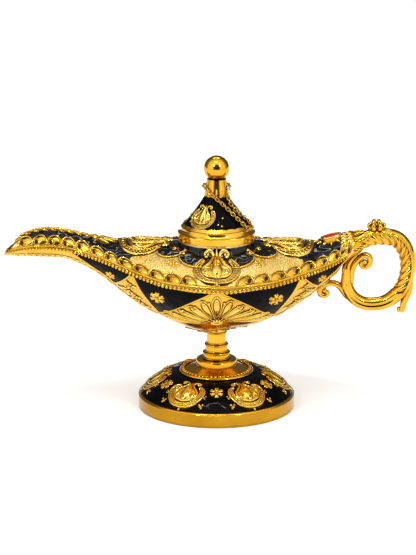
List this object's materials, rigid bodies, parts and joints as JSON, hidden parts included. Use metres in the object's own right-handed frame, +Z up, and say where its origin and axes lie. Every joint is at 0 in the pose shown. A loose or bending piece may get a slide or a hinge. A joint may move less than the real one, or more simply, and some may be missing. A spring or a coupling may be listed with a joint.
{
  "type": "genie oil lamp",
  "caption": "Footed boat-shaped oil lamp with a long open spout, ring handle, domed foot and lift-off conical lid with ball finial and chain, in gold relief and black enamel.",
  "frame": {"origin": "centre of the foot's flat underside", "axes": "+X toward the handle, -X toward the spout, +Z up, -Y toward the viewer of the picture"},
  "size_m": [0.2062, 0.0864, 0.1285],
  "materials": {
    "polished_gold": "polished gold plate",
    "embossed_gold": "embossed gold plate with black enamel fields",
    "black_enamel": "glossy black enamel",
    "red_stone": "faceted red stone",
    "steel": "plain steel",
    "chain_gold": "bright gold plate"
  },
  "bodies": {
    "lamp": {"foot_shell": "polished_gold", "bead_collar": "polished_gold", "stem_flange": "polished_gold", "stem_lower_ferrule": "polished_gold", "stem_middle_ferrule": "polished_gold", "stem_upper_ferrule": "polished_gold", "rim_moulding": "polished_gold", "bead_row": "polished_gold", "handle": "polished_gold", "handle_rosette": "polished_gold", "gem_bezel": "polished_gold", "lower_bowl": "embossed_gold", "upper_shell": "embossed_gold", "shell_palmettes": "embossed_gold", "foot_palmettes": "embossed_gold", "foot_enamel": "black_enamel", "tie_rod": "steel", "rod_nut_top": "steel", "rod_washer_top": "steel", "rod_nut_bottom": "steel", "rod_washer_bottom": "steel", "gem": "red_stone"},
    "lid": {"lid_rim": "polished_gold", "lid_plug": "polished_gold", "lid_cone": "polished_gold", "lid_enamel": "black_enamel", "finial_collar": "polished_gold", "finial_ball": "polished_gold", "finial_stud": "steel", "finial_nut": "steel"},
    "chain": {"chain_links": "chain_gold", "chain_ring": "chain_gold"}
  },
  "joints": [
    {"name": "lid_lift", "type": "slide", "parent": "lamp", "child": "lid", "axis": [0, 0, 1], "range_m": [0, 0.06]},
    {"name": "chain_swing", "type": "hinge", "parent": "lid", "child": "chain", "pos_m": [0, 0, 0.112], "axis": [0, 0, 1], "range_deg": [-12, 40]}
  ]
}
